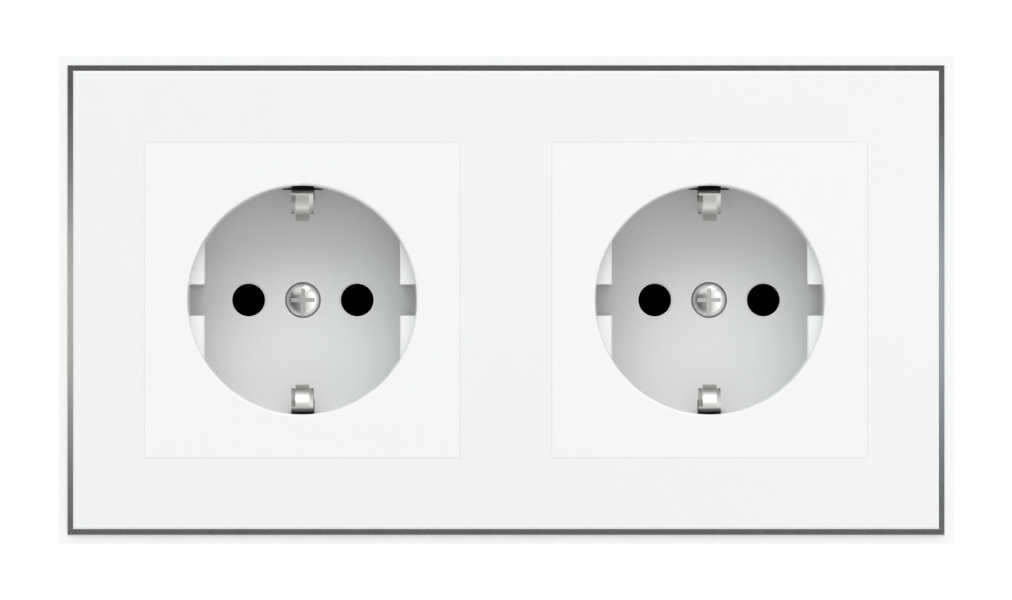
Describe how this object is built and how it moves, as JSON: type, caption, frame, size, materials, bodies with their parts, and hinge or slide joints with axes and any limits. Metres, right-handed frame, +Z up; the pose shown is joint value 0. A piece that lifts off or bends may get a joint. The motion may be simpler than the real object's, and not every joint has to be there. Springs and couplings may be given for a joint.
{
  "type": "double wall socket",
  "caption": "Two-gang flush wall socket with round plug recesses, side earth clips and pin shutters, in a white glass frame with a bright metal trim.",
  "frame": {"origin": "middle of the mounting frame's back, on the wall plane", "axes": "+X to the right along the pair, +Y into the wall, +Z up"},
  "size_m": [0.156, 0.0438, 0.085],
  "materials": {
    "plate_white": "glossy white thermoplastic",
    "glass_white": "clear glass with white paint behind it",
    "frame_white": "satin white thermoplastic",
    "trim_chrome": "polished",
    "nickel_steel": "bright nickel plate",
    "nickel_bronze": "nickel-plated spring bronze",
    "zinc_steel": "zinc plate",
    "spring_steel": "bright spring steel",
    "contact_brass": "drawn brass",
    "shutter_black": "matt black thermoplastic",
    "base_black": "black moulding compound"
  },
  "bodies": {
    "unit": {"mounting_frame": "frame_white", "trim_ring": "trim_chrome", "glass_panel": "glass_white", "left_centre_plate": "plate_white", "left_centre_screw": "nickel_steel", "left_screw_nut": "zinc_steel", "left_earth_bracket": "nickel_bronze", "left_shutter_spring": "spring_steel", "left_contact_cover": "base_black", "left_live_contact": "contact_brass", "left_neutral_contact": "contact_brass", "left_terminal_clamps": "zinc_steel", "left_terminal_screws": "zinc_steel", "left_socket_base": "base_black", "left_support_ring": "zinc_steel", "right_centre_plate": "plate_white", "right_centre_screw": "nickel_steel", "right_screw_nut": "zinc_steel", "right_earth_bracket": "nickel_bronze", "right_shutter_spring": "spring_steel", "right_contact_cover": "base_black", "right_live_contact": "contact_brass", "right_neutral_contact": "contact_brass", "right_terminal_clamps": "zinc_steel", "right_terminal_screws": "zinc_steel", "right_socket_base": "base_black", "right_support_ring": "zinc_steel"},
    "left_shutter_slider": {"left_shutter": "shutter_black"},
    "left_claw_left_arm": {"left_claw_left": "zinc_steel", "left_claw_screw_left": "nickel_steel"},
    "left_claw_right_arm": {"left_claw_right": "zinc_steel", "left_claw_screw_right": "nickel_steel"},
    "right_shutter_slider": {"right_shutter": "shutter_black"},
    "right_claw_left_arm": {"right_claw_left": "zinc_steel", "right_claw_screw_left": "nickel_steel"},
    "right_claw_right_arm": {"right_claw_right": "zinc_steel", "right_claw_screw_right": "nickel_steel"}
  },
  "joints": [
    {"name": "left_shutter_slide", "type": "slide", "parent": "unit", "child": "left_shutter_slider", "axis": [0, 0, 1], "range_m": [0, 0.0064], "stiffness_N_per_m": 150, "springref_m": -0.003, "deforming": ["left_shutter_spring"]},
    {"name": "left_claw_left_swing", "type": "hinge", "parent": "unit", "child": "left_claw_left_arm", "pos_m": [-0.0609, -0.00333, 0], "axis": [0, 0, 1], "range_deg": [0, 10]},
    {"name": "left_claw_right_swing", "type": "hinge", "parent": "unit", "child": "left_claw_right_arm", "pos_m": [-0.0101, -0.00333, 0], "axis": [0, 0, -1], "range_deg": [0, 10]},
    {"name": "right_shutter_slide", "type": "slide", "parent": "unit", "child": "right_shutter_slider", "axis": [0, 0, 1], "range_m": [0, 0.0064], "stiffness_N_per_m": 150, "springref_m": -0.003, "deforming": ["right_shutter_spring"]},
    {"name": "right_claw_left_swing", "type": "hinge", "parent": "unit", "child": "right_claw_left_arm", "pos_m": [0.0101, -0.00333, 0], "axis": [0, 0, 1], "range_deg": [0, 10]},
    {"name": "right_claw_right_swing", "type": "hinge", "parent": "unit", "child": "right_claw_right_arm", "pos_m": [0.0609, -0.00333, 0], "axis": [0, 0, -1], "range_deg": [0, 10]}
  ]
}
